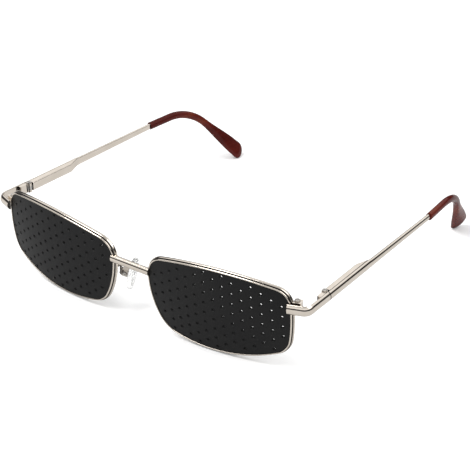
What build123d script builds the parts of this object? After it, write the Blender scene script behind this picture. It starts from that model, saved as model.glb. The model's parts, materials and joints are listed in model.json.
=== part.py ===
from build123d import *
import math
import os

# Pinhole spectacles on a sprung metal frame, in millimetres: X across the face, Y from the lenses back to
# the ears, Z up from the table. Each side part is modelled on the wearer's left (+X) and mirrored.

# Lens outline: corner points from the lens's centre, the bulge of each side and the corner radii
lens_half_width = 27.0
top_inner_rise = 12.0
top_outer_rise = 13.0
bottom_outer_drop = 8.8
bottom_outer_inset = 1.1
bottom_inner_drop = 12.3
bottom_inner_inset = 6.2
top_bulge = 3.9
outer_bulge = 1.15
bottom_bulge = 4.1
inner_bulge = 2.7
top_inner_radius = 7.4
top_outer_radius = 6.2
bottom_outer_radius = 7.3
bottom_inner_radius = 9.1

# Lens body and its place in the frame
lens_curve_radius = 104.0
lens_thickness = 1.5
lens_edge_gap = 0.05
bridge_half_span = 8.9
lens_centre_z = 15.82
lens_wrap_angle = 7.0
lens_tilt_angle = 4.0

# Pinholes: a staggered grid, drilled square to the curved lens
pinhole_width = 1.2
pinhole_sides = 6
pinhole_column_pitch = 3.58
pinhole_row_pitch = 3.78
pinhole_edge_land = 1.1
left_grid_turn = 1.1
left_grid_inward = -3.54
left_grid_up = 7.61
right_grid_turn = -7.6
right_grid_inward = 1.82
right_grid_up = 7.76

# Rim wire with its groove
rim_wall = 0.9
rim_front_lip = 0.3
rim_back_lip = 0.2
rim_edge_round = 0.35
groove_depth = 0.4
groove_setback = 0.4
groove_width = 0.8
groove_play = 0.05

# Endpiece bar, soldered over the front of the rim and bent back to the hinge; the temple has its thickness
bar_thickness = 1.35
endpiece_rise = 8.3
endpiece_slant = 20.0
endpiece_height = 3.7
endpiece_proud = 0.9
endpiece_bend_radius = 3.2
endpiece_edge_round = 0.55

# Closing block, split level with the rim, and its screw
block_length = 3.4
block_depth = 2.9
block_top = 2.0
block_bottom = 2.0
block_split = 0.3
block_edge_round = 0.35
block_bar_gap = 0.05
rim_screw_radius = 0.5
rim_screw_head_radius = 0.9
rim_screw_head_height = 0.55
rim_screw_inset = 1.6
rim_screw_outset = 2.65
screw_slot_width = 0.3
screw_slot_depth = 0.3
screw_fit = 0.03

# Bridge
bridge_rise = 7.1
bridge_height = 2.6
bridge_thickness = 1.8
bridge_proud = 0.9
bridge_end_outset = 0.25
bridge_edge_round = 0.5

# Hinge, its pin placed from where the endpiece starts on the rim
hinge_outset = 4.74
hinge_setback = 13.92
hinge_face_offset = 1.15
hinge_gap = 0.6
temple_toe_angle = 3.4
temple_rise_angle = 0.71
knuckle_radius = 1.1
knuckle_height = 0.9
knuckle_play = 0.05
leaf_length = 4.2
leaf_setback = 1.35
leaf_depth = 1.5
leaf_edge_round = 0.2
hinge_screw_radius = 0.5
hinge_screw_head_radius = 0.85
hinge_screw_head_height = 0.5
hinge_running_play = 0.05

# Sprung slider between the hinge and the temple
slider_height = 1.5
slider_width = 1.05
slider_length = 9.0
slider_rod_radius = 0.28
slider_rod_length = 10.7
slider_play = 0.05
slider_nut_radius = 0.55
slider_nut_length = 0.95
stop_block_length = 1.5
stop_block_gap = 0.1
spring_mean_radius = 0.44
spring_wire_width = 0.2
spring_turns = 5
spring_end_gap = 0.05
spring_bore_radius = 0.6

# Spring housing on the inside of the temple
housing_start = 1.4
housing_length = 24.5
housing_taper_length = 5.0
housing_height = 3.3
housing_inner_depth = 0.85
housing_edge_round = 0.4
housing_end_wall = 0.9

# Temple bar: stations back from the pin, with its height and thickness there
temple_shoulder_start = 25.5
temple_shoulder_length = 1.6
temple_length = 66.0
temple_front_height = 3.5
temple_shoulder_height = 3.35
temple_waist_height = 2.9
temple_end_height = 2.1
temple_end_thickness = 1.3
temple_edge_round = 0.45

# Temple tip: straight, bent down behind the ear, and straight again as a flat paddle with a blunt end
tip_turn_angle = 3.0
tip_straight = 10.7
tip_bend_radius = 22.3
tip_bend_angle = 50.8
tip_lean_angle = 17.5
tip_drop_length = 23.1
tip_sleeve_height = 2.95
tip_sleeve_thickness = 2.55
paddle_width = 7.4
paddle_thickness = 2.4
paddle_twist = 17.0
paddle_end_round = 2.6
core_height = 1.3
core_thickness = 0.8
core_end_cover = 8.0
core_play = 0.05
paddle_length = 25.0
paddle_station_shares = [0, 0.12, 0.24, 0.36, 0.48, 0.6, 0.72, 0.83, 0.91, 0.955, 0.98, 0.993]
swell_end_share = 0.9

# Nose pad, its arm and its box; the pad is placed from the arm's root on the rim
pad_arm_rise = 3.0
pad_arm_wire = 0.9
pad_arm_reach = 2.4
pad_arm_bend = 0.6
pad_arm_seat_share = 0.8
pad_inset = 1.54
pad_setback = 6.53
pad_drop = 5.13
pad_length = 13.0
pad_width = 7.4
pad_thickness = 2.2
pad_edge_round = 0.9
pad_lean_angle = 15.0
pad_splay_angle = 25.0
pad_box_length = 2.8
pad_box_width = 2.8
pad_box_depth = 2.2
pad_box_wall = 0.4
pad_box_gap = 0.35
pad_boss_length = 1.4
pad_boss_play = 0.12
pad_screw_radius = 0.35
pad_screw_head_radius = 0.65
pad_screw_head_height = 0.35
pad_screw_play = 0.05

# Overrun of every cut past what it cuts, and how far the lens prisms reach each way
cut_overrun = 1.0
prism_reach = 20.0


def sagitta(radius, offset):
    """How far a circle of the given radius falls back at this offset from its crown."""
    return radius - math.sqrt(radius**2 - offset**2)


def lens_frame():
    """Place of the left lens: u along x, v along z, and y straight back from the lens's crown."""
    centre = Pos(bridge_half_span + lens_half_width, 0, lens_centre_z)
    return centre * Rot(lens_tilt_angle, 0, 0) * Rot(0, 0, lens_wrap_angle)


def rim_front_point(u, v):
    """A point on the front of the rim, in the model's frame."""
    back = sagitta(lens_curve_radius, math.hypot(u, v)) - rim_front_lip
    return (lens_frame() * Pos(u, back, v)).position


def side_disc(start, end, bulge, growth):
    """The disc whose rim is one bulging side of the outline, grown outwards; its seam faces inwards."""
    chord = end - start
    radius = (chord.length**2 / 4 + bulge**2) / (2 * bulge)
    outward = Vector(-chord.Y, chord.X, 0).normalized()
    centre = (start + end) / 2 - outward * (radius - bulge)
    seam_angle = math.degrees(math.atan2(-outward.Y, -outward.X))
    return Pos(centre) * Rot(0, 0, seam_angle) * Circle(radius + growth)


def lens_outline(growth):
    """The lens's outline, grown by the given amount: four discs' common area, with its corners rounded."""
    corners = [
        Vector(-lens_half_width, top_inner_rise),
        Vector(lens_half_width, top_outer_rise),
        Vector(lens_half_width - bottom_outer_inset, -bottom_outer_drop),
        Vector(bottom_inner_inset - lens_half_width, -bottom_inner_drop),
    ]
    bulges = [top_bulge, outer_bulge, bottom_bulge, inner_bulge]
    radii = [top_inner_radius, top_outer_radius, bottom_outer_radius, bottom_inner_radius]
    face = side_disc(corners[0], corners[1], bulges[0], growth)
    for index in range(1, len(corners)):
        end = corners[(index + 1) % len(corners)]
        face = face & side_disc(corners[index], end, bulges[index], growth)
    for corner, radius in zip(corners, radii):
        vertex = face.vertices().sort_by_distance(corner)[0]
        face = fillet(vertex, radius + growth)
    return face


def lens_prism(growth):
    """The grown outline, run straight through the lens from front to back."""
    return extrude(Plane.XZ * lens_outline(growth), amount=prism_reach, both=True)


def lens_shell(front_setback, thickness):
    """A spherical shell on the lens's own centre, its front set back from the lens's front."""
    centre = Pos(0, lens_curve_radius, 0)
    outer = lens_curve_radius - front_setback
    return centre * Sphere(outer) - centre * Sphere(outer - thickness)


def pinhole_places(grid_turn, grid_inward, grid_up):
    """Grid points on the lens as pairs of arc lengths, u and v, that leave enough land to the rim."""
    land = lens_outline(-pinhole_edge_land).face()
    reach = math.ceil((lens_half_width + abs(grid_inward)) / pinhole_column_pitch) + 1
    turn = math.radians(grid_turn)
    places = []
    for column in range(-reach, reach + 1):
        for row in range(-2 * reach, 2 * reach + 1):
            if (column + row) % 2:
                continue
            across = column * pinhole_column_pitch
            along = row * pinhole_row_pitch / 2
            u = -grid_inward + across * math.cos(turn) - along * math.sin(turn)
            v = grid_up + across * math.sin(turn) + along * math.cos(turn)
            if land.is_inside((u, v, 0)):
                places.append((u, v))
    return places


def make_lens(grid_turn, grid_inward, grid_up):
    plate = lens_prism(-lens_edge_gap) & lens_shell(0, lens_thickness)
    tongue_setback = groove_setback + groove_play
    tongue_width = groove_width - 2 * groove_play
    tongue = lens_prism(groove_depth - groove_play) & lens_shell(tongue_setback, tongue_width)
    inner_end = lens_curve_radius - lens_thickness - cut_overrun
    drill = Plane.XZ.offset(inner_end) * RegularPolygon(pinhole_width / 2, pinhole_sides)
    drill = extrude(drill, amount=lens_thickness + 2 * cut_overrun)
    holes = []
    for u, v in pinhole_places(grid_turn, grid_inward, grid_up):
        sideways = math.degrees(u / lens_curve_radius)
        upwards = math.degrees(v / lens_curve_radius)
        holes.append(Pos(0, lens_curve_radius, 0) * Rot(0, 0, sideways) * Rot(-upwards, 0, 0) * drill)
    return lens_frame() * (plate + tongue - holes)


def endpiece_frame():
    """Origin where the endpiece starts on the rim: x runs along the bar, y back and z up."""
    return Pos(rim_front_point(lens_half_width, endpiece_rise)) * Rot(0, 0, endpiece_slant)


def hinge_frame():
    """Origin on the pin, level with the endpiece: x outwards, y back along the temple, z along the pin."""
    start = rim_front_point(lens_half_width, endpiece_rise)
    pin = start + Vector(hinge_outset, hinge_setback, 0)
    return Pos(pin) * Rot(temple_rise_angle, 0, 0) * Rot(0, 0, temple_toe_angle)


def rim_envelope():
    """Everything from the front of the rim backwards, within its outer edge."""
    ball = Pos(0, lens_curve_radius, 0) * Sphere(lens_curve_radius + rim_front_lip)
    return lens_frame() * (lens_prism(rim_wall) & ball)


def rim_groove():
    """The slot inside the rim that takes the tongue of the lens."""
    return lens_prism(groove_depth) & lens_shell(groove_setback, groove_width)


def make_rim():
    depth = rim_front_lip + lens_thickness + rim_back_lip
    blank = lens_prism(rim_wall) & lens_shell(-rim_front_lip, depth)
    blank = fillet(blank.faces().filter_by(GeomType.SPHERE).edges(), rim_edge_round)
    rim = lens_frame() * (blank - lens_prism(0) - rim_groove())
    split_reach = 2 * (rim_wall + groove_depth + cut_overrun)
    split = Box(split_reach, depth + 2 * cut_overrun, block_split)
    return rim - endpiece_frame() * Pos(rim_wall, depth / 2, 0) * split


def make_endpiece():
    place = endpiece_frame()
    middle = bar_thickness / 2
    start = (place * Pos(0, middle - endpiece_proud, 0)).position
    hinge = hinge_frame()
    toe = math.radians(temple_toe_angle)
    slant = math.radians(endpiece_slant)
    along_front = Vector(math.cos(slant), math.sin(slant), 0)
    along_temple = Vector(-math.sin(toe), math.cos(toe), 0)
    outwards = Vector(math.cos(toe), math.sin(toe), 0)
    end = hinge.position + outwards * (hinge_face_offset + middle) - along_temple * (hinge_gap / 2)
    to_end = end - start
    front_length = to_end.cross(along_temple).Z / along_front.cross(along_temple).Z
    corner = start + along_front * front_length
    path = FilletPolyline(start, corner, end, radius=endpiece_bend_radius)
    section = RectangleRounded(endpiece_height, bar_thickness, endpiece_edge_round)
    bar = sweep(Plane(origin=start, x_dir=(0, 0, 1), z_dir=along_front) * section, path=path)
    return bar - rim_envelope()


def block_half(bottom, top):
    """One half of the closing block, in the endpiece's frame, before its neighbours are cut from it."""
    front = bar_thickness - endpiece_proud
    box = Box(block_length + rim_wall, block_depth, top - bottom)
    box = fillet(box.edges().filter_by(Axis.Z), block_edge_round)
    middle = Pos((block_length + rim_wall) / 2, front + block_depth / 2, (bottom + top) / 2)
    return middle * box


def rim_screw_place():
    front = bar_thickness - endpiece_proud
    return Pos(rim_screw_outset, front + rim_screw_inset, 0)


def make_closing_blocks(endpiece):
    bore = rim_screw_place() * Cylinder(rim_screw_radius + screw_fit, 2 * (block_top + block_bottom))
    upper = endpiece_frame() * (block_half(block_split / 2, block_top) - bore)
    lower_half = Pos(0, block_bar_gap, 0) * block_half(-block_bottom, -block_split / 2)
    lower = endpiece_frame() * (lower_half - bore)
    return upper - endpiece - rim_envelope(), lower - endpiece - rim_envelope()


def slotted_screw(radius, length, head_radius, head_height):
    """A cheese-head screw along z, the underside of its head at z = 0."""
    shank = Pos(0, 0, -length / 2) * Cylinder(radius, length)
    head = Pos(0, 0, head_height / 2) * Cylinder(head_radius, head_height)
    slot_length = 2 * head_radius + cut_overrun
    slot = Pos(0, 0, head_height) * Box(slot_length, screw_slot_width, 2 * screw_slot_depth)
    return shank + head - slot


def make_rim_screw():
    screw = slotted_screw(
        rim_screw_radius, block_top + block_bottom, rim_screw_head_radius, rim_screw_head_height
    )
    return endpiece_frame() * rim_screw_place() * Pos(0, 0, block_top) * screw


def make_bridge():
    anchor = rim_front_point(-lens_half_width - bridge_end_outset, bridge_rise)
    section = Plane.YZ * RectangleRounded(bridge_thickness, bridge_height, bridge_edge_round)
    bar = extrude(section, amount=anchor.X, both=True)
    bar = Pos(0, anchor.Y - bridge_proud + bridge_thickness / 2, anchor.Z) * bar
    envelope = rim_envelope()
    return bar - envelope - mirror(envelope, about=Plane.YZ)


def knuckle_level():
    """Height of the middle of each outer knuckle above the hinge's middle."""
    return slider_height / 2 + knuckle_play + knuckle_height / 2


def make_hinge_leaf(endpiece):
    leaf_height = 2 * knuckle_level() + knuckle_height
    sunk = bar_thickness / 2
    plate = Box(leaf_depth + sunk, leaf_length - leaf_setback, leaf_height)
    plate = fillet(plate.edges().filter_by(Axis.Z).group_by(Axis.X)[0], leaf_edge_round)
    plate_x = hinge_face_offset + (sunk - leaf_depth) / 2
    leaf = Pos(plate_x, -(leaf_length + leaf_setback) / 2, 0) * plate
    web_inner = hinge_face_offset - leaf_depth + leaf_edge_round
    web_outer = 2 * knuckle_radius - hinge_face_offset
    web_length = leaf_setback + leaf_edge_round
    web = Box(web_outer - web_inner, web_length, knuckle_height)
    web = Pos((web_outer + web_inner) / 2, -web_length / 2, 0) * web
    for level in (-knuckle_level(), knuckle_level()):
        leaf += Pos(0, 0, level) * (Cylinder(knuckle_radius, knuckle_height) + web)
    leaf -= Cylinder(hinge_screw_radius + screw_fit, 2 * leaf_height)
    return hinge_frame() * leaf - endpiece


def make_hinge_screw():
    leaf_height = 2 * knuckle_level() + knuckle_height
    screw = slotted_screw(
        hinge_screw_radius, leaf_height, hinge_screw_head_radius, hinge_screw_head_height
    )
    return hinge_frame() * Pos(0, 0, leaf_height / 2) * screw


def along_y(radius, start, length):
    """A round bar along y from the given start."""
    return Pos(0, start + length / 2, 0) * Rot(90, 0, 0) * Cylinder(radius, length)


def make_slider():
    barrel = Cylinder(knuckle_radius, slider_height)
    tongue = Pos(0, slider_length / 2, 0) * Box(slider_width, slider_length, slider_height)
    rod = along_y(slider_rod_radius, slider_length, slider_rod_length)
    bore = Cylinder(hinge_screw_radius + hinge_running_play, 2 * slider_height)
    return hinge_frame() * (barrel + tongue + rod - bore)


def stop_block_start():
    return slider_length + stop_block_gap


def spring_start():
    return stop_block_start() + stop_block_length + spring_end_gap


def nut_start():
    return slider_length + slider_rod_length - slider_nut_length - spring_end_gap


def make_slider_nut():
    nut = along_y(slider_nut_radius, nut_start(), slider_nut_length)
    bore_start = nut_start() - cut_overrun
    bore = along_y(slider_rod_radius + screw_fit, bore_start, slider_nut_length + 2 * cut_overrun)
    return hinge_frame() * (nut - bore)


def make_stop_block():
    width = slider_width + 2 * slider_play
    height = slider_height + 2 * slider_play
    block = Pos(0, stop_block_start() + stop_block_length / 2, 0) * Box(width, stop_block_length, height)
    bore_start = stop_block_start() - cut_overrun
    bore = along_y(slider_rod_radius + slider_play, bore_start, stop_block_length + 2 * cut_overrun)
    return hinge_frame() * (block - bore)


def make_spring():
    """An open coil of square wire round the slider's rod."""
    length = nut_start() - spring_end_gap - spring_start() - spring_wire_width
    helix = Helix(length / spring_turns, length, spring_mean_radius)
    start = Plane(origin=helix @ 0, x_dir=(1, 0, 0), z_dir=helix % 0)
    coil = sweep(start * Rectangle(spring_wire_width, spring_wire_width), path=helix, is_frenet=True)
    return hinge_frame() * Pos(0, spring_start() + spring_wire_width / 2, 0) * Rot(-90, 0, 0) * coil


def make_spring_housing():
    inner = -housing_inner_depth
    end = housing_start + housing_length
    plan = make_face(
        Polyline(
            (hinge_face_offset, housing_start),
            (inner, housing_start),
            (inner, end - housing_taper_length),
            (hinge_face_offset, end),
            close=True,
        )
    )
    body = Pos(0, 0, -housing_height / 2) * extrude(plan, amount=housing_height)
    long_edges = body.edges().filter_by(Plane.XY).filter_by(lambda edge: edge.center().X < hinge_face_offset)
    long_edges = long_edges.filter_by(lambda edge: edge.center().Y > housing_start + housing_edge_round)
    body = fillet(long_edges, housing_edge_round)
    channel_width = slider_width + 2 * slider_play
    channel_height = slider_height + 2 * slider_play
    channel_end = stop_block_start() + stop_block_length
    channel_length = channel_end - housing_start + cut_overrun
    channel = Box(channel_width, channel_length, channel_height)
    channel = Pos(0, channel_end - channel_length / 2, 0) * channel
    bore_end = end - housing_taper_length - housing_end_wall
    bore = along_y(spring_bore_radius, channel_end - slider_play, bore_end - channel_end + slider_play)
    return hinge_frame() * (body - channel - bore)


def tip_frame():
    """Origin in the middle of the bar's end: y runs back along the tip, turned in towards the head."""
    middle = hinge_face_offset + bar_thickness - temple_end_thickness / 2
    return hinge_frame() * Pos(middle, temple_length, 0) * Rot(0, 0, tip_turn_angle)


def tip_lean(length_up):
    """A vector of this length up the leaning plane in which the tip is bent."""
    lean = math.radians(tip_lean_angle)
    return Vector(length_up * math.sin(lean), 0, length_up * math.cos(lean))


def tip_point(distance):
    """A point on the tip's centreline, at this distance behind the bar's end, and the heading there."""
    down = -tip_lean(1)
    back = Vector(0, 1, 0)
    bend_start = back * tip_straight
    bend_length = tip_bend_radius * math.radians(tip_bend_angle)
    past = distance - tip_straight
    if past <= 0:
        return bend_start + back * past, back
    angle = min(past, bend_length) / tip_bend_radius
    heading = back * math.cos(angle) + down * math.sin(angle)
    point = bend_start + back * (tip_bend_radius * math.sin(angle))
    point += down * (tip_bend_radius * (1 - math.cos(angle)))
    if past > bend_length:
        point += heading * (past - bend_length)
    return point, heading


def tip_length():
    return tip_straight + tip_bend_radius * math.radians(tip_bend_angle) + tip_drop_length


def tip_path(start, end):
    """The centreline between two distances: a line, the bend's arc and, past the bend, a line."""
    arc_end = min(tip_length() - tip_drop_length, end)
    arc_middle = (tip_straight + arc_end) / 2
    points = [tip_point(place)[0] for place in (start, tip_straight, arc_middle, arc_end)]
    path = Curve() + [Line(points[0], points[1]), ThreePointArc(points[1], points[2], points[3])]
    if end > arc_end:
        path += Line(points[3], tip_point(end)[0])
    return path


def tip_plane(distance):
    """The plane square to the tip's centreline there, its x up the leaning plane."""
    point, heading = tip_point(distance)
    sideways = Vector(0, 1, 0).cross(tip_lean(1))
    return Plane(origin=point, x_dir=sideways.cross(heading), z_dir=heading)


def core_sweep(play, start, end):
    """The flat core wire along the tip, grown by the given play."""
    section = Rectangle(core_height + 2 * play, core_thickness + 2 * play)
    return sweep(tip_plane(start) * section, path=tip_path(start, end))


def make_temple():
    outer = hinge_face_offset + bar_thickness
    stations = [
        (hinge_gap / 2, temple_front_height, bar_thickness),
        (temple_shoulder_start, temple_shoulder_height, bar_thickness),
        (temple_shoulder_start + temple_shoulder_length, temple_waist_height, bar_thickness),
        (temple_length, temple_end_height, temple_end_thickness),
    ]
    sections = []
    for back, height, thickness in stations:
        plane = Plane(origin=(outer - thickness / 2, back, 0), x_dir=(0, 0, 1), z_dir=(0, 1, 0))
        sections.append(plane * RectangleRounded(height, thickness, temple_edge_round))
    bar = loft(sections, ruled=True)
    core = core_sweep(0, -cut_overrun, tip_length() - core_end_cover)
    return hinge_frame() * bar + tip_frame() * core


def paddle_section(place_share):
    """An oval across the paddle: the sleeve's own at 0, swelling and twisting, then rounded off at 1."""
    along = min(place_share / swell_end_share, 1)
    swell = along * along * (3 - 2 * along)
    left = min((1 - place_share) * paddle_length / paddle_end_round, 1)
    rounding = math.sqrt(1 - (1 - left) ** 2)
    width = tip_sleeve_height + swell * (paddle_width - tip_sleeve_height)
    thickness = tip_sleeve_thickness + swell * (paddle_thickness - tip_sleeve_thickness)
    plane = tip_plane(tip_length() - (1 - place_share) * paddle_length)
    return plane * Rot(0, 0, swell * paddle_twist) * Ellipse(width / 2 * rounding, thickness / 2 * rounding)


def make_temple_tip():
    """The sleeve, oval on the wire, and the thin twisted paddle that it swells to behind the ear."""
    length = tip_length()
    oval = tip_plane(core_play) * Ellipse(tip_sleeve_height / 2, tip_sleeve_thickness / 2)
    sleeve = sweep(oval, path=tip_path(core_play, length - paddle_length))
    paddle = loft([paddle_section(place_share) for place_share in paddle_station_shares])
    channel = core_sweep(core_play, -cut_overrun, length - core_end_cover + core_play)
    return tip_frame() * (sleeve + paddle - channel)


def pad_arm_root():
    """Where the pad's arm leaves the back of the rim, on the nose side."""
    back = sagitta(lens_curve_radius, lens_half_width) + lens_thickness
    return (lens_frame() * Pos(-lens_half_width - rim_wall / 2, back, pad_arm_rise)).position


def pad_frame():
    """Middle of the nose pad: x from the nose side to the box side, y back and z along the pad."""
    middle = pad_arm_root() + Vector(-pad_inset, pad_setback, -pad_drop)
    return Pos(middle) * Rot(0, -pad_lean_angle, 0) * Rot(0, 0, -pad_splay_angle)


def pad_box_middle():
    """Distance from the pad's middle to the middle of its box, which is also the rocking axis."""
    return pad_thickness / 2 + pad_box_gap + pad_box_depth / 2


def make_nose_pad():
    pad = extrude(Plane.YZ * Ellipse(pad_width / 2, pad_length / 2), amount=pad_thickness / 2, both=True)
    pad = fillet(pad.edges().filter_by(GeomType.ELLIPSE), pad_edge_round)
    boss_end = pad_box_middle() + pad_box_depth / 2 - pad_box_wall - pad_boss_play
    boss_width = pad_box_width - 2 * (pad_box_wall + pad_boss_play)
    boss = Pos(boss_end / 2, 0, 0) * Box(boss_end, boss_width, pad_boss_length)
    bore = Rot(90, 0, 0) * Cylinder(pad_screw_radius + pad_screw_play, pad_width)
    return pad_frame() * (pad + boss - Pos(pad_box_middle(), 0, 0) * bore)


def make_pad_box():
    """The cup that holds the pad's boss, open towards the pad and along its ends."""
    cup = Box(pad_box_depth, pad_box_width, pad_box_length)
    cup = fillet(cup.edges().filter_by(Axis.X), pad_box_wall)
    cavity = Box(pad_box_depth, pad_box_width - 2 * pad_box_wall, pad_box_length - 2 * pad_box_wall)
    bore = Rot(90, 0, 0) * Cylinder(pad_screw_radius + screw_fit, 2 * pad_box_width)
    return pad_frame() * Pos(pad_box_middle(), 0, 0) * (cup - Pos(-pad_box_wall, 0, 0) * cavity - bore)


def make_pad_screw():
    screw = slotted_screw(pad_screw_radius, pad_box_width, pad_screw_head_radius, pad_screw_head_height)
    place = Pos(pad_box_middle(), -pad_box_width / 2, 0) * Rot(90, 0, 0)
    return pad_frame() * place * screw


def make_pad_arm(rim, pad_box):
    """The round wire that leaves the back of the rim, drops behind it and lies along the back of the box."""
    radius = pad_arm_wire / 2
    start = pad_arm_root()
    seat = pad_box_middle() + pad_box_depth / 2 + radius * pad_arm_seat_share
    near = (pad_frame() * Pos(seat, -pad_box_width / 2, 0)).position
    end = (pad_frame() * Pos(seat, pad_box_width / 2, 0)).position
    behind = start + Vector(0, pad_arm_reach, 0)
    low = Vector(behind.X, behind.Y, near.Z + pad_arm_bend)
    path = FilletPolyline(start, behind, low, near, end, radius=pad_arm_bend)
    wire = sweep(Plane(origin=start, z_dir=path % 0) * Circle(radius), path=path)
    lens_space = lens_frame() * (lens_prism(0) & lens_shell(0, lens_thickness + lens_edge_gap))
    return wire - rim - pad_box - lens_space - lens_frame() * rim_groove()


def left_side():
    """Every piece of the wearer's left side but the lens, by name."""
    endpiece = make_endpiece()
    upper_block, lower_block = make_closing_blocks(endpiece)
    pad_box = make_pad_box()
    rim = make_rim()
    return {
        "rim": rim,
        "endpiece": endpiece,
        "upper_closing_block": upper_block,
        "lower_closing_block": lower_block,
        "rim_screw": make_rim_screw(),
        "hinge_leaf": make_hinge_leaf(endpiece),
        "hinge_screw": make_hinge_screw(),
        "hinge_slider": make_slider(),
        "slider_nut": make_slider_nut(),
        "hinge_spring": make_spring(),
        "stop_block": make_stop_block(),
        "spring_housing": make_spring_housing(),
        "temple": make_temple(),
        "temple_tip": make_temple_tip(),
        "pad_arm": make_pad_arm(rim, pad_box),
        "pad_box": pad_box,
        "pad_screw": make_pad_screw(),
        "nose_pad": make_nose_pad(),
    }


def build():
    pieces = {"bridge": make_bridge()}
    for name, shape in left_side().items():
        pieces["left_" + name] = shape
        pieces["right_" + name] = mirror(shape, about=Plane.YZ)
    pieces["left_lens"] = make_lens(left_grid_turn, left_grid_inward, left_grid_up)
    right_lens = make_lens(right_grid_turn, right_grid_inward, right_grid_up)
    pieces["right_lens"] = mirror(right_lens, about=Plane.YZ)
    return pieces


def settle(pieces):
    """Move the pieces so that the middle of their box stands over the origin, on the table."""
    box = Compound([solid for shape in pieces.values() for solid in shape.solids()]).bounding_box()
    move = Pos(0, -(box.min.Y + box.max.Y) / 2, -box.min.Z)
    return {name: move * shape for name, shape in pieces.items()}, move.position


pieces, moved = settle(build())
os.makedirs("parts", exist_ok=True)
for name, shape in pieces.items():
    export_step(shape, f"parts/{name}.step")
print("moved back by", round(moved.Y, 4), "and up by", round(moved.Z, 4))
pin = moved + hinge_frame().position
print("left hinge pin at", [round(value, 4) for value in pin])
rock = moved + (pad_frame() * Pos(pad_box_middle(), 0, 0)).position
print("left pad axis at", [round(value, 4) for value in rock])
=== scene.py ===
import json
import math

import bmesh
import bpy
from mathutils import Matrix, Vector, bvhtree, geometry

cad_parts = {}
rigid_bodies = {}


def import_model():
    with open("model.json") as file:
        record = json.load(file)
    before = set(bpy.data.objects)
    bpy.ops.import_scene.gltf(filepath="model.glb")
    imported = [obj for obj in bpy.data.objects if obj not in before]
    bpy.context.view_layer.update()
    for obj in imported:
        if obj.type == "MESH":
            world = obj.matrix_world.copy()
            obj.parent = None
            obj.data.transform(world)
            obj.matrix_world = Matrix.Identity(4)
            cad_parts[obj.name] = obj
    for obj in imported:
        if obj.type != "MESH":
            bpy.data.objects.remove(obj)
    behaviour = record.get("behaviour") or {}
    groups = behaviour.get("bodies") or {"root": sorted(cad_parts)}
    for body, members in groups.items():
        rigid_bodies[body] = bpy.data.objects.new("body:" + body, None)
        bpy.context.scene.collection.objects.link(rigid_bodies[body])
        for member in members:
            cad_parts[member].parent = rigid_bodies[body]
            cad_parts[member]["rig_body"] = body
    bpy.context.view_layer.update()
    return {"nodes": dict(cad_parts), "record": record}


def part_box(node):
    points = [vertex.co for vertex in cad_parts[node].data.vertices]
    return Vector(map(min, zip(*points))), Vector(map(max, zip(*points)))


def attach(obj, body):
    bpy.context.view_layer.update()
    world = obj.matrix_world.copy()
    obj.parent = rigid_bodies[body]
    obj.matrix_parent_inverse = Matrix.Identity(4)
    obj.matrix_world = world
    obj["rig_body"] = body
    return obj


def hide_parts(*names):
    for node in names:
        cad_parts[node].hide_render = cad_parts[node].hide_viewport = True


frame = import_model()
nodes = frame["nodes"]

MM = 0.001
SIDES = {"left": 1, "right": -1}
MODEL_UP = Vector((0, 0, 1))
MODEL_FORWARD = Vector((0, -1, 0))

# The photograph's camera, as angles about the model and a distance to a point beside the origin
CAMERA_AZIMUTH = math.radians(38.639)
CAMERA_ELEVATION = math.radians(28.048)
CAMERA_ROLL = math.radians(-1.035)
CAMERA_DISTANCE = 685.96 * MM
CAMERA_TARGET = Vector((-5.581, 0.141, 4.902)) * MM
CAMERA_FOCAL = 141.37
CAMERA_SENSOR = 36

# The lens's place, curve and thickness, as in the frame
LENS_CENTRE = Vector((35.9, -64.240, 15.6305)) * MM
LENS_TILT = math.radians(4.0)
LENS_WRAP = math.radians(7.0)
LENS_RADIUS = 104.0 * MM
LENS_THICKNESS = 1.5 * MM
LENS_EDGE_GAP = 0.01 * MM

# Its outline in millimetres: corners, each side's bulge after its corner, and the corners' radii
OUTLINE_CORNERS = [(-27.0, 12.0), (27.0, 13.0), (25.9, -8.8), (-20.8, -12.3)]
OUTLINE_BULGES = [3.9, 1.15, 4.1, 2.7]
OUTLINE_RADII = [7.4, 6.2, 7.3, 9.1]
OUTLINE_STEP = 0.6 * MM
ARC_LEAST_STEPS = 4

# The rim's section as (outwards from the lens and back from its front in millimetres, and how much painted
# shade darkens the point, standing in for shade and dark reflections): a round bead, a recessed line and a
# crowned band
RIM_SECTION = [
    (0.0, 0.05, 1.0), (0.02, -0.1, 0.6), (0.1, -0.22, 0.0), (0.22, -0.29, 0.0), (0.34, -0.29, 0.0),
    (0.46, -0.22, 0.0), (0.53, -0.1, 0.0), (0.53, 0.04, 0.2), (0.48, 0.15, 0.9), (0.46, 0.24, 1.0),
    (0.47, 0.34, 1.0), (0.54, 0.38, 1.0), (0.68, 0.39, 0.9), (0.8, 0.43, 0.35), (0.87, 0.52, 0.0),
    (0.9, 0.66, 0.0), (0.9, 0.84, 0.0), (0.9, 1.02, 0.0), (0.88, 1.2, 0.0), (0.82, 1.39, 0.0),
    (0.72, 1.54, 0.0), (0.58, 1.65, 0.0), (0.42, 1.7, 0.0), (0.24, 1.69, 0.0), (0.1, 1.62, 0.0),
    (0.02, 1.5, 0.5), (0.0, 1.36, 1.0),
]
RIM_SPLIT_HEIGHT = 8.3 * MM
RIM_SPLIT_WIDTH = 0.3 * MM

# A pinhole's profile in millimetres as (back from the lens's front, radius), flared at both faces
PINHOLE_PROFILE = [(0.0, 0.68), (0.26, 0.44), (1.08, 0.44), (1.5, 0.9)]
PINHOLE_FACETS = 20

# The pinhole grid: pitches, how far inside the lens's edge a place is tried, and each side's turn and
# offset outwards and upwards
PINHOLE_COLUMN_PITCH = 3.58 * MM
PINHOLE_ROW_PITCH = 3.78 * MM
PINHOLE_EDGE_MARGIN = 0.55 * MM
GRID_TURN = {"left": math.radians(1.1), "right": math.radians(-7.6)}
GRID_OFFSET = {"left": Vector((3.54, 7.61)) * MM, "right": Vector((-1.82, 7.76)) * MM}

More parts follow.
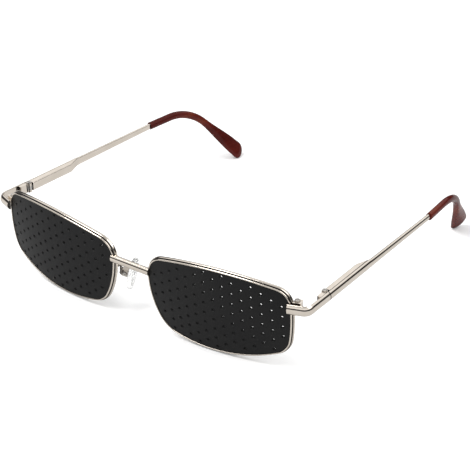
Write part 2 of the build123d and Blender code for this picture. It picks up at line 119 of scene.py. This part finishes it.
# The grid is tried this many columns each way, by a ray that starts and ends this far off the lens
GRID_REACH = 18
PROBE_MARGIN = 3 * MM
SHEET_TOLERANCE = 1e-7

# The flat bars: endpiece, temple and bridge, each with a crowned outer face
BAR_THICKNESS = 1.35 * MM
BAR_EDGE = 0.3 * MM
ENDPIECE_RISE = 8.3 * MM
ENDPIECE_HEIGHT = 3.7 * MM
ENDPIECE_PROUD = 0.9 * MM
ENDPIECE_SLANT = math.radians(20.0)
ENDPIECE_BEND_RADIUS = 3.2 * MM
ENDPIECE_CROWN = 0.95 * MM
ENDPIECE_BEND_STEPS = 14
RIM_FRONT_LIP = 0.3 * MM
BRIDGE_CROWN = 0.6 * MM

# Facets round a bar's section: over the crown, round its front edge and round its back edge
CROWN_STEPS = 4
FRONT_EDGE_STEPS = 5
BACK_EDGE_STEPS = 3

# The left hinge's pin, and the temple's stations in millimetres as (back from the pin, height,
# thickness, crown)
HINGE_PIN = Vector((66.9989, -44.0429, 24.3897)) * MM
TEMPLE_RISE = math.radians(0.71)
TEMPLE_TOE = math.radians(3.4)
HINGE_FACE_OFFSET = 1.15 * MM
HINGE_GAP = 0.4 * MM
TEMPLE_STATIONS = [
    (0.2, 3.5, 1.35, 0.9),
    (25.5, 3.35, 1.35, 0.86),
    (27.1, 2.9, 1.35, 0.72),
    (66.0, 2.1, 1.3, 0.5),
]

# Edges that shade as sharp turn by more than these
COPIED_CORNER = math.radians(34)
TIP_CORNER = math.radians(60)
DRAWN_CORNER = math.radians(40)
BAR_CORNER = math.radians(50)

# Small parts: broken edges, points that are welded, and how much painted shade darkens the wire and the box of
# the pads
PLATE_BEVEL = 0.08 * MM
SCREW_BEVEL = 0.06 * MM
WELD_DISTANCE = 0.002 * MM
PAD_ARM_PAINTED_SHADE = 0.8
PAD_BOX_PAINTED_SHADE = 0.3

# Painted shade in the metal's colour: how near another surface darkens it, and the open share at which it
# starts and ends
SHADE_PAINT_REACH = 0.8 * MM
PAINTED_SHADE_COLOUR = (0.03, 0.026, 0.024)
SHADE_PAINT_SAMPLES = 12
SHADE_PAINT_FULL = 0.45
SHADE_PAINT_NONE = 0.92

# The table: its tone where the metal mirrors it, and the white added where the camera sees it, which
# grows with the distance from the glasses; sizes in metres
FLOOR_HALF_WIDTH = 3.0
FLOOR_MIRRORED = 0.59
FLOOR_LIFT = 0.19
FLOOR_LIFT_FAR = 0.45
FLOOR_LIFT_START = 0.15
FLOOR_LIFT_END = 0.9

# The studio: its brightness where it lights, and where it is mirrored as (sine of the height, brightness)
WORLD_STRENGTH = 0.62
WORLD_BANDS = [(0.0, 0.3), (0.02, 0.04), (0.32, 0.04), (0.40, 0.93), (0.58, 1.0), (0.8, 0.7), (1.0, 0.5)]

# Softboxes as (name, azimuth and elevation in degrees, distance and width in metres, power in watts)
SOFTBOXES = [("key", -40, 62, 0.9, 0.5, 5.0), ("fill", 110, 50, 1.0, 0.6, 2.6)]


def lens_frame(side):
    """Lens frame to model: u outwards along x, sag along y and v upwards; the right side is mirrored."""
    turn = Matrix.Rotation(LENS_TILT, 4, "X") @ Matrix.Rotation(LENS_WRAP, 4, "Z")
    placed = Matrix.Translation(LENS_CENTRE) @ turn
    return Matrix.Scale(SIDES[side], 4, (1, 0, 0)) @ placed


def direction_to(azimuth, elevation):
    """The direction from the model to a place in front at azimuth 0 and to the wearer's left at 90 degrees."""
    return Vector((
        math.sin(azimuth) * math.cos(elevation),
        -math.cos(azimuth) * math.cos(elevation),
        math.sin(elevation),
    ))


class Nodes:
    """Small helper that adds and links the nodes of one material or of the world."""

    def __init__(self, tree):
        self.tree = tree

    def add(self, kind, **values):
        node = self.tree.nodes.new(kind)
        for key, value in values.items():
            if key in node.inputs:
                node.inputs[key].default_value = value
            else:
                setattr(node, key, value)
        return node

    def link(self, source, target):
        self.tree.links.new(source, target)

    def ramp(self, source, stops):
        """A colour ramp with (place, colour) stops."""
        ramp = self.add("ShaderNodeValToRGB")
        elements = ramp.color_ramp.elements
        while len(elements) < len(stops):
            elements.new(0.5)
        for element, (place, colour) in zip(elements, stops):
            element.position = place
            element.color = (*colour, 1)
        self.link(source, ramp.inputs["Fac"])
        return ramp.outputs["Color"]

    def spread(self, source, low, high, start=0.0, end=1.0):
        """Map start..end of a value onto low..high."""
        spread = self.add("ShaderNodeMapRange")
        spread.inputs["From Min"].default_value = start
        spread.inputs["From Max"].default_value = end
        spread.inputs["To Min"].default_value = low
        spread.inputs["To Max"].default_value = high
        self.link(source, spread.inputs["Value"])
        return spread.outputs["Result"]

    def combine(self, operation, first, second, clamp=False):
        """The result of a Math node on two values."""
        result = self.add("ShaderNodeMath", operation=operation, use_clamp=clamp)
        self.link(first, result.inputs[0])
        self.link(second, result.inputs[1])
        return result.outputs[0]

    def mix(self, share, first, second):
        """From the first colour to the second as the share rises; each is an output or a fixed colour."""
        mixed = self.add("ShaderNodeMix", data_type="RGBA")
        self.link(share, mixed.inputs["Factor"])
        for key, colour in (("A", first), ("B", second)):
            if isinstance(colour, tuple):
                mixed.inputs[key].default_value = (*colour, 1)
            else:
                self.link(colour, mixed.inputs[key])
        return mixed.outputs["Result"]


class Shader(Nodes):
    """The nodes of one material, with its main shader."""

    def __init__(self, name):
        self.material = bpy.data.materials.new(name)
        self.material.use_nodes = True
        super().__init__(self.material.node_tree)
        self.principled = self.tree.nodes["Principled BSDF"]

    def set(self, **values):
        for key, value in values.items():
            self.principled.inputs[key.replace("_", " ")].default_value = value

    def drive(self, key, source):
        """Feed an input of the main shader from an output."""
        self.link(source, self.principled.inputs[key])

    def object_noise(self, scale, detail=3.0, stretch=(1, 1, 1)):
        """Noise in the model's own space, stretched along an axis for brushed or drawn finishes."""
        place = self.add("ShaderNodeTexCoord")
        mapping = self.add("ShaderNodeMapping")
        mapping.inputs["Scale"].default_value = stretch
        noise = self.add("ShaderNodeTexNoise", Scale=scale, Detail=detail)
        self.link(place.outputs["Object"], mapping.inputs["Vector"])
        self.link(mapping.outputs["Vector"], noise.inputs["Vector"])
        return noise.outputs["Fac"]

    def with_painted_shade(self, colour):
        """The colour with painted shade: darkened in crevices and along the lines where pieces meet, and more
        where a point carries painted shade.
        """
        shade = self.add("ShaderNodeAmbientOcclusion", samples=SHADE_PAINT_SAMPLES)
        shade.inputs["Distance"].default_value = SHADE_PAINT_REACH
        open_share = self.spread(shade.outputs["AO"], 0.0, 1.0, SHADE_PAINT_FULL, SHADE_PAINT_NONE)
        painted_shade = self.add("ShaderNodeAttribute", attribute_name="painted_shade")
        unshaded_share = self.combine("SUBTRACT", open_share, painted_shade.outputs["Fac"], clamp=True)
        return self.mix(unshaded_share, PAINTED_SHADE_COLOUR, colour)

    def bump(self, source, strength, distance):
        bump = self.add("ShaderNodeBump", Strength=strength, Distance=distance)
        self.link(source, bump.inputs["Height"])
        self.drive("Normal", bump.outputs["Normal"])


def grey(value):
    return (value, value, value)


def champagne_metal():
    """Polished warm plating: faint cloudiness in colour and gloss, and hairline polishing marks."""
    metal = Shader("champagne_metal")
    metal.set(Metallic=1.0)
    cloud = metal.object_noise(scale=160, detail=2)
    colour = metal.ramp(cloud, [(0.3, (0.79, 0.715, 0.625)), (0.7, (0.87, 0.79, 0.70))])
    # Painted shade: the colour darkens in crevices, where pieces meet and where points carry painted shade
    metal.drive("Base Color", metal.with_painted_shade(colour))
    hairlines = metal.object_noise(scale=900, detail=4, stretch=(1, 0.12, 1))
    metal.drive("Roughness", metal.spread(hairlines, 0.05, 0.15))
    metal.bump(hairlines, strength=0.06, distance=0.02 * MM)
    return metal.material


def screw_steel():
    """Bright turned steel with fine rings of tool marks."""
    steel = Shader("turned_steel")
    steel.set(Metallic=1.0)
    marks = steel.object_noise(scale=2500, detail=3, stretch=(1, 1, 0.2))
    colour = steel.ramp(marks, [(0.3, (0.52, 0.5, 0.48)), (0.7, (0.66, 0.64, 0.61))])
    steel.drive("Base Color", colour)
    steel.drive("Roughness", steel.spread(marks, 0.18, 0.34))
    return steel.material


def black_lens():
    """Satin black moulded plastic: a fine grain and a slight, even sheen."""
    lens = Shader("satin_black_lens")
    lens.set(Specular_IOR_Level=0.2)
    grain = lens.object_noise(scale=1800, detail=5)
    cloud = lens.object_noise(scale=60, detail=2)
    colour = lens.ramp(cloud, [(0.3, (0.0070, 0.0070, 0.0074)), (0.7, grey(0.0095))])
    lens.drive("Base Color", colour)
    lens.drive("Roughness", lens.spread(grain, 0.4, 0.5))
    lens.bump(grain, strength=0.08, distance=0.02 * MM)
    return lens.material


def brown_tip():
    """Polished dark red-brown acetate with long darker and amber streaks."""
    tip = Shader("brown_acetate")
    tip.set(Specular_IOR_Level=0.16, Subsurface_Weight=0.15, Subsurface_Scale=0.8 * MM)
    tip.set(Subsurface_Radius=(1.0, 0.35, 0.2))
    streaks = tip.object_noise(scale=120, detail=3, stretch=(1, 0.2, 1))
    stops = [(0.25, (0.045, 0.006, 0.005)), (0.55, (0.1, 0.013, 0.009)), (0.85, (0.2, 0.045, 0.017))]
    tip.drive("Base Color", tip.ramp(streaks, stops))
    tip.drive("Roughness", tip.spread(streaks, 0.1, 0.18))
    return tip.material


def clear_pad():
    """Clear soft silicone, slightly hazy."""
    pad = Shader("clear_silicone")
    pad.set(IOR=1.3, Transmission_Weight=0.8)
    haze = pad.object_noise(scale=150, detail=2)
    colour = pad.ramp(haze, [(0.3, (0.93, 0.94, 0.94)), (0.7, (0.98, 0.98, 0.97))])
    pad.drive("Base Color", colour)
    pad.drive("Roughness", pad.spread(haze, 0.12, 0.2))
    return pad.material


materials = {
    "gold_metal": champagne_metal(),
    "screw_steel": screw_steel(),
    "black_lens": black_lens(),
    "brown_tip": brown_tip(),
    "clear_pad": clear_pad(),
}
slot_of = {part["node"]: part["material_slot"] for part in frame["record"]["subparts"]}


def new_piece(name, mesh, node):
    """A piece made here that stands for a node, on the node's body and with its finish."""
    mesh.materials.clear()
    mesh.materials.append(materials[slot_of[node]])
    piece = bpy.data.objects.new(name, mesh)
    bpy.context.scene.collection.objects.link(piece)
    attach(piece, nodes[node]["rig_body"])
    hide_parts(node)
    return piece


def shade_smooth(shape, corner_angle):
    """Turn every face outwards and shade it smooth, but for the edges that turn more than an angle."""
    bmesh.ops.recalc_face_normals(shape, faces=shape.faces)
    for face in shape.faces:
        face.smooth = True
    for edge in shape.edges:
        edge.smooth = edge.is_manifold and edge.calc_face_angle(math.pi) < corner_angle


def smooth_copy(node, corner_angle=COPIED_CORNER, bevel=0.0, painted_shade=0.0):
    """A node's own shape with joined facets and smooth shading, its sharp edges broken by a small bevel, and
    an even weight of painted shade on every point if one is given.
    """
    mesh = nodes[node].data.copy()
    shape = bmesh.new()
    shape.from_mesh(mesh)
    bmesh.ops.remove_doubles(shape, verts=shape.verts, dist=WELD_DISTANCE)
    shade_smooth(shape, corner_angle)
    # Painted shade: an even weight on every point that darkens the metal's colour
    if painted_shade:
        shade_weight = shape.verts.layers.float.new("painted_shade")
        for corner in shape.verts:
            corner[shade_weight] = painted_shade
    shape.to_mesh(mesh)
    shape.free()
    piece = new_piece(node + "_finished", mesh, node)
    if bevel:
        modifier = piece.modifiers.new("edge_break", "BEVEL")
        modifier.width = bevel
        modifier.segments = 2
        modifier.angle_limit = corner_angle
        modifier.harden_normals = True


def finish_mesh(shape, name, node, corner_angle=DRAWN_CORNER):
    """Close up a drawn shape as a piece: outward faces, smooth but for its sharp edges."""
    shade_smooth(shape, corner_angle)
    mesh = bpy.data.meshes.new(name)
    shape.to_mesh(mesh)
    shape.free()
    new_piece(name, mesh, node)


def skin_rings(shape, rings):
    """Faces from each ring of points to the next, and one over each end."""
    for ring, following in zip(rings, rings[1:]):
        for index in range(len(ring)):
            shape.faces.new((ring[index - 1], ring[index], following[index], following[index - 1]))
    shape.faces.new(rings[0])
    shape.faces.new(rings[-1][::-1])


def on_sphere(u, v, setback):
    """A point of the lens by its arc lengths from the crown, that far behind the front."""
    radius = LENS_RADIUS - setback
    across = u / LENS_RADIUS
    up = v / LENS_RADIUS
    return Vector((
        radius * math.cos(up) * math.sin(across),
        LENS_RADIUS - radius * math.cos(up) * math.cos(across),
        radius * math.sin(up),
    ))


def behind_front(place, setback):
    """A point of the outline, run straight back to a shell that far behind the lens's front."""
    radius = LENS_RADIUS - setback
    return Vector((place.x, LENS_RADIUS - math.sqrt(radius**2 - place.length_squared), place.y))


def circles_meet(centre_a, radius_a, centre_b, radius_b, near):
    """The crossing of two circles that lies nearer to a point."""
    gap = centre_b - centre_a
    along = (gap.length_squared + radius_a**2 - radius_b**2) / (2 * gap.length)
    aside = math.sqrt(radius_a**2 - along**2)
    unit = gap.normalized()
    foot = centre_a + unit * along
    cross = Vector((-unit.y, unit.x)) * aside
    return min((foot + cross, foot - cross), key=lambda point: (point - near).length)


def arc_points(centre, radius, start, end):
    """Points and outward normals clockwise along an arc, from the start towards the end."""
    first = math.atan2((start - centre).y, (start - centre).x)
    turn = (math.atan2((end - centre).y, (end - centre).x) - first) % (-2 * math.pi)
    steps = max(ARC_LEAST_STEPS, round(-turn * radius / OUTLINE_STEP))
    found = []
    for step in range(steps):
        angle = first + turn * step / steps
        normal = Vector((math.cos(angle), math.sin(angle)))
        found.append((centre + normal * radius, normal))
    return found


def lens_outline():
    """Clockwise points and outward normals of the lens's edge: bulging sides joined by round corners."""
    corners = [Vector(corner) * MM for corner in OUTLINE_CORNERS]
    sides = []
    for index, corner in enumerate(corners):
        chord = corners[(index + 1) % len(corners)] - corner
        bulge = OUTLINE_BULGES[index] * MM
        radius = (chord.length_squared / 4 + bulge**2) / (2 * bulge)
        outward = Vector((-chord.y, chord.x)).normalized()
        sides.append((corner + chord / 2 - outward * (radius - bulge), radius))
    rounds = []
    for index, corner in enumerate(corners):
        radius = OUTLINE_RADII[index] * MM
        (centre_a, radius_a), (centre_b, radius_b) = sides[index - 1], sides[index]
        middle = circles_meet(centre_a, radius_a - radius, centre_b, radius_b - radius, corner)
        rounds.append((middle, radius))
    found = []
    for index, (centre, radius) in enumerate(sides):
        middle, corner_radius = rounds[index]
        next_middle = rounds[(index + 1) % len(rounds)][0]
        before = sides[index - 1][0]
        start = middle + (middle - before).normalized() * corner_radius
        end = middle + (middle - centre).normalized() * corner_radius
        found += arc_points(middle, corner_radius, start, end)
        far_end = next_middle + (next_middle - centre)
        found += arc_points(centre, radius, end, far_end)
    return found


def inside(place, edge):
    """Whether a place lies within a convex outline that runs clockwise."""
    for index, point in enumerate(edge):
        if (point - edge[index - 1]).cross(place - point) > 0:
            return False
    return True


def open_pinholes(side):
    """Grid places inside the lens's edge where the node is drilled through."""
    tree = bvhtree.BVHTree.FromObject(nodes[side + "_lens"], bpy.context.evaluated_depsgraph_get())
    placed = lens_frame(side)
    turn = Matrix.Rotation(GRID_TURN[side], 2)
    edge = [point - normal * PINHOLE_EDGE_MARGIN for point, normal in lens_outline()]
    places = []
    for column in range(-GRID_REACH, GRID_REACH + 1):
        for row in range(-2 * GRID_REACH, 2 * GRID_REACH + 1):
            if (column + row) % 2:
                continue
            step = Vector((column * PINHOLE_COLUMN_PITCH, row * PINHOLE_ROW_PITCH / 2))
            place = GRID_OFFSET[side] + turn @ step
            if not inside(place, edge):
                continue
            start = placed @ on_sphere(place.x, place.y, -PROBE_MARGIN)
            end = placed @ on_sphere(place.x, place.y, LENS_THICKNESS + PROBE_MARGIN)
            if tree.ray_cast(start, (end - start).normalized(), (end - start).length)[0] is None:
                places.append(place)
    return places


def hole_ring(place, setback, radius):
    """A ring of points round a pinhole's axis, that far behind the lens's front."""
    axis = (on_sphere(place.x, place.y, 0) - Vector((0, LENS_RADIUS, 0))).normalized()
    across = axis.cross(MODEL_UP).normalized()
    along = axis.cross(across)
    centre = on_sphere(place.x, place.y, setback)
    turns = [2 * math.pi * step / PINHOLE_FACETS for step in range(PINHOLE_FACETS)]
    return [centre + (across * math.cos(turn) + along * math.sin(turn)) * radius for turn in turns]


def make_lens(side):
    """The drilled lens: one triangulated sheet with round holes, laid on the front and the back shells."""
    placed = lens_frame(side)
    edge = [point - normal * LENS_EDGE_GAP for point, normal in lens_outline()]
    places = open_pinholes(side)
    levels = []
    for setback, radius in PINHOLE_PROFILE:
        level = [behind_front(point, setback * MM) for point in edge]
        for place in places:
            level += hole_ring(place, setback * MM, radius * MM)
        levels.append(level)
    starts = range(len(edge), len(levels[0]), PINHOLE_FACETS)
    loops = [list(range(len(edge)))] + [list(range(start, start + PINHOLE_FACETS)) for start in starts]
    flat = [Vector((point.x, point.z)) for point in levels[0]]
    edges = [(loop[index - 1], loop[index]) for loop in loops for index in range(len(loop))]
    sheet = geometry.delaunay_2d_cdt(flat, edges, [], 0, SHEET_TOLERANCE)
    triangles, origins = sheet[2], sheet[3]
    source = [origin[0] for origin in origins]
    hole_of = {index: number for number, loop in enumerate(loops[1:], 1) for index in loop}
    shape = bmesh.new()
    levels = [[shape.verts.new(placed @ point) for point in level] for level in levels]
    for triangle in triangles:
        corners = [source[index] for index in triangle]
        holes = {hole_of.get(index, 0) for index in corners}
        if len(holes) == 1 and 0 not in holes:
            continue
        shape.faces.new([levels[0][index] for index in corners])
        shape.faces.new([levels[-1][index] for index in reversed(corners)])
    for upper, lower in zip(levels, levels[1:]):
        for start, end in edges:
            shape.faces.new((upper[start], upper[end], lower[end], lower[start]))
    finish_mesh(shape, side + "_pinhole_lens", side + "_lens")


def make_rim(side):
    """The rim: its beaded section run round the lens, open at the split behind the endpiece."""
    placed = lens_frame(side)
    outline = lens_outline()
    outer = [index for index, (point, _) in enumerate(outline) if point.x > 0]
    first = min(outer, key=lambda index: abs(outline[index][0].y - RIM_SPLIT_HEIGHT))
    outline = outline[first:] + outline[:first]
    middle, normal = outline[0]
    half = Vector((normal.y, -normal.x)) * RIM_SPLIT_WIDTH / 2
    stations = [(middle + half, normal)] + outline[1:] + [(middle - half, normal)]
    shape = bmesh.new()
    # Painted shade: each point carries a weight that darkens the metal's colour, along the recessed line and
    # the edges against the lens
    painted_shade = shape.verts.layers.float.new("painted_shade")
    rings = []
    for point, normal in stations:
        ring = []
        for outward, setback, shade_weight in RIM_SECTION:
            place = point + normal * outward * MM
            corner = shape.verts.new(placed @ behind_front(place, setback * MM))
            corner[painted_shade] = shade_weight
            ring.append(corner)
        rings.append(ring)
    skin_rings(shape, rings)
    finish_mesh(shape, side + "_rim_finished", side + "_rim")


def crowned_section(height, thickness, crown):
    """Pairs (outwards, upwards) round a bar whose inner face is flat and whose outer face bulges."""
    edge = BAR_EDGE
    radius = (height**2 / 4 + crown**2) / (2 * crown)
    reach = height / 2 - edge
    outer = thickness - radius + math.sqrt((radius - edge) ** 2 - reach**2)
    tangent = math.asin(reach / (radius - edge))
    upper = []
    for step in range(CROWN_STEPS):
        angle = tangent * step / CROWN_STEPS
        upper.append((thickness - radius + radius * math.cos(angle), radius * math.sin(angle)))
    for step in range(FRONT_EDGE_STEPS + 1):
        angle = tangent + (math.pi / 2 - tangent) * step / FRONT_EDGE_STEPS
        upper.append((outer + edge * math.cos(angle), reach + edge * math.sin(angle)))
    for step in range(BACK_EDGE_STEPS + 1):
        angle = math.pi / 2 * (1 + step / BACK_EDGE_STEPS)
        upper.append((edge + edge * math.cos(angle), reach + edge * math.sin(angle)))
    return upper + [(out, -up) for out, up in upper[:0:-1]]


def run_bar(stations, name, node, mirror=1):
    """A bar through stations (inner face's middle, outwards, upwards, section); -1 mirrors it to the right."""
    shape = bmesh.new()
    rings = []
    for middle, outwards, upwards, section in stations:
        ring = []
        for out, up in section:
            place = middle + outwards * out + upwards * up
            ring.append(shape.verts.new((place.x * mirror, place.y, place.z)))
        rings.append(ring)
    skin_rings(shape, rings)
    finish_mesh(shape, name, node, BAR_CORNER)


def make_endpiece(side):
    """The bar that starts over the rim, bends back and ends at the hinge."""
    rim_front = Vector((-OUTLINE_CORNERS[0][0] * MM, ENDPIECE_RISE))
    root = lens_frame("left") @ behind_front(rim_front, -RIM_FRONT_LIP)
    along_front = Vector((math.cos(ENDPIECE_SLANT), math.sin(ENDPIECE_SLANT), 0))
    along_temple = Vector((-math.sin(TEMPLE_TOE), math.cos(TEMPLE_TOE), 0))
    front_outwards = along_front.cross(MODEL_UP)
    temple_outwards = along_temple.cross(MODEL_UP)
    start = root - front_outwards * (ENDPIECE_PROUD - BAR_THICKNESS)
    end = HINGE_PIN + temple_outwards * HINGE_FACE_OFFSET - along_temple * HINGE_GAP / 2
    section = crowned_section(ENDPIECE_HEIGHT, BAR_THICKNESS, ENDPIECE_CROWN)
    turn = along_front.angle(along_temple)
    inner_radius = ENDPIECE_BEND_RADIUS - BAR_THICKNESS / 2
    front_length = (end - start).cross(along_temple).z / along_front.cross(along_temple).z
    corner = start + along_front * front_length
    setback = inner_radius * math.tan(turn / 2)
    centre = corner - along_front * setback - front_outwards * inner_radius
    stations = [(start, front_outwards, MODEL_UP, section)]
    for step in range(ENDPIECE_BEND_STEPS + 1):
        spun = Matrix.Rotation(turn * step / ENDPIECE_BEND_STEPS, 3, "Z") @ front_outwards
        stations.append((centre + spun * inner_radius, spun, MODEL_UP, section))
    stations.append((end, temple_outwards, MODEL_UP, section))
    run_bar(stations, side + "_endpiece_finished", side + "_endpiece", SIDES[side])


def make_temple(side):
    """The tapered temple bar, from the hinge to the tip."""
    turn = Matrix.Rotation(TEMPLE_RISE, 4, "X") @ Matrix.Rotation(TEMPLE_TOE, 4, "Z")
    hinge = Matrix.Translation(HINGE_PIN) @ turn
    outwards, _, upwards = (column.to_3d() for column in hinge.to_3x3().col)
    outer = HINGE_FACE_OFFSET + BAR_THICKNESS
    stations = []
    for back, height, thickness, crown in TEMPLE_STATIONS:
        middle = hinge @ Vector((outer - thickness * MM, back * MM, 0))
        section = crowned_section(height * MM, thickness * MM, crown * MM)
        stations.append((middle, outwards, upwards, section))
    run_bar(stations, side + "_temple_finished", side + "_temple", SIDES[side])


def make_bridge():
    """The straight bar between the rims."""
    low, high = (Vector(corner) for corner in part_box("bridge"))
    section = crowned_section(high.z - low.z, high.y - low.y, BRIDGE_CROWN)
    height = (low.z + high.z) / 2
    ends = [Vector((x, high.y, height)) for x in (low.x, high.x)]
    stations = [(end, MODEL_FORWARD, MODEL_UP, section) for end in ends]
    run_bar(stations, "bridge_finished", "bridge")


for side in SIDES:
    make_lens(side)
    make_rim(side)
    make_endpiece(side)
    make_temple(side)
    smooth_copy(side + "_temple_tip", TIP_CORNER)
    smooth_copy(side + "_nose_pad")
    # Painted shade darkens the pads' wire and box, standing in for darker reflections
    smooth_copy(side + "_pad_arm", painted_shade=PAD_ARM_PAINTED_SHADE)
    smooth_copy(side + "_pad_box", bevel=PLATE_BEVEL, painted_shade=PAD_BOX_PAINTED_SHADE)
    for part in ("upper_closing_block", "lower_closing_block", "hinge_leaf", "spring_housing"):
        smooth_copy(side + "_" + part, bevel=PLATE_BEVEL)
    for part in ("rim_screw", "hinge_screw", "pad_screw", "hinge_slider"):
        smooth_copy(side + "_" + part, bevel=SCREW_BEVEL)
make_bridge()

for name, node in nodes.items():
    node.data.materials.clear()
    node.data.materials.append(materials[slot_of[name]])


def make_camera():
    """The photograph's camera, turned by its roll about its own axis."""
    back = direction_to(CAMERA_AZIMUTH, CAMERA_ELEVATION)
    level = Vector((math.cos(CAMERA_AZIMUTH), math.sin(CAMERA_AZIMUTH), 0))
    right = level * math.cos(CAMERA_ROLL) + back.cross(level) * math.sin(CAMERA_ROLL)
    turn = Matrix((right, back.cross(right), back)).transposed().to_4x4()
    camera = bpy.data.objects.new("camera", bpy.data.cameras.new("camera"))
    camera.data.lens = CAMERA_FOCAL
    camera.data.sensor_width = CAMERA_SENSOR
    camera.matrix_world = Matrix.Translation(CAMERA_TARGET + back * CAMERA_DISTANCE) @ turn
    bpy.context.scene.collection.objects.link(camera)
    bpy.context.scene.camera = camera


def table_white():
    """White paper, dimmer where the metal mirrors it, with white added where the camera sees it."""
    paper = Shader("table_white")
    grain = paper.object_noise(scale=9, detail=2)
    colour = paper.ramp(grain, [(0.3, grey(0.90)), (0.7, grey(0.91))])
    paper.set(Roughness=0.9, Specular_IOR_Level=0.0)
    path = paper.add("ShaderNodeLightPath")
    glossy, through = path.outputs["Is Glossy Ray"], path.outputs["Is Transmission Ray"]
    mirrored = paper.combine("SUBTRACT", glossy, through, clamp=True)
    paper.drive("Base Color", paper.mix(mirrored, colour, grey(FLOOR_MIRRORED)))
    place = paper.add("ShaderNodeTexCoord")
    distance = paper.add("ShaderNodeVectorMath", operation="LENGTH")
    paper.link(place.outputs["Object"], distance.inputs[0])
    rise = paper.spread(
        distance.outputs["Value"], FLOOR_LIFT, FLOOR_LIFT_FAR, FLOOR_LIFT_START, FLOOR_LIFT_END
    )
    seen = paper.combine("MAXIMUM", path.outputs["Is Camera Ray"], through)
    lift = paper.add("ShaderNodeEmission", Color=(1, 1, 1, 1))
    paper.link(paper.combine("MULTIPLY", seen, rise), lift.inputs["Strength"])
    both = paper.add("ShaderNodeAddShader")
    paper.link(paper.principled.outputs["BSDF"], both.inputs[0])
    paper.link(lift.outputs["Emission"], both.inputs[1])
    paper.link(both.outputs["Shader"], paper.tree.nodes["Material Output"].inputs["Surface"])
    return paper.material


def make_floor():
    """A broad white table under the glasses."""
    mesh = bpy.data.meshes.new("table")
    half = FLOOR_HALF_WIDTH
    corners = [(-half, -half, 0), (half, -half, 0), (half, half, 0), (-half, half, 0)]
    mesh.from_pydata(corners, [], [(0, 1, 2, 3)])
    floor = bpy.data.objects.new("table", mesh)
    bpy.context.scene.collection.objects.link(floor)
    mesh.materials.append(table_white())


def make_world():
    """An even studio: white where it is seen, dimmer where it lights, with a dark low band where mirrored."""
    world = bpy.data.worlds.new("studio")
    bpy.context.scene.world = world
    world.use_nodes = True
    studio = Nodes(world.node_tree)
    place = studio.add("ShaderNodeTexCoord")
    split = studio.add("ShaderNodeSeparateXYZ")
    studio.link(place.outputs["Generated"], split.inputs["Vector"])
    bands = studio.ramp(split.outputs["Z"], [(height, grey(value)) for height, value in WORLD_BANDS])
    path = studio.add("ShaderNodeLightPath")
    lit = studio.mix(path.outputs["Is Glossy Ray"], grey(WORLD_STRENGTH), bands)
    seen = studio.combine("MAXIMUM", path.outputs["Is Camera Ray"], path.outputs["Is Transmission Ray"])
    background = studio.tree.nodes["Background"]
    studio.link(studio.mix(seen, lit, grey(1)), background.inputs["Color"])
    background.inputs["Strength"].default_value = 1.0


def soft_light(name, azimuth, elevation, distance, width, power):
    """A square softbox aimed at the middle of the glasses."""
    lamp = bpy.data.lights.new(name, "AREA")
    lamp.size = width
    lamp.energy = power
    light = bpy.data.objects.new(name, lamp)
    direction = direction_to(math.radians(azimuth), math.radians(elevation))
    light.location = direction * distance
    light.rotation_euler = direction.to_track_quat("Z", "Y").to_euler()
    bpy.context.scene.collection.objects.link(light)


make_camera()
make_floor()
make_world()
for softbox in SOFTBOXES:
    soft_light(*softbox)
bpy.context.scene.view_settings.view_transform = "Standard"
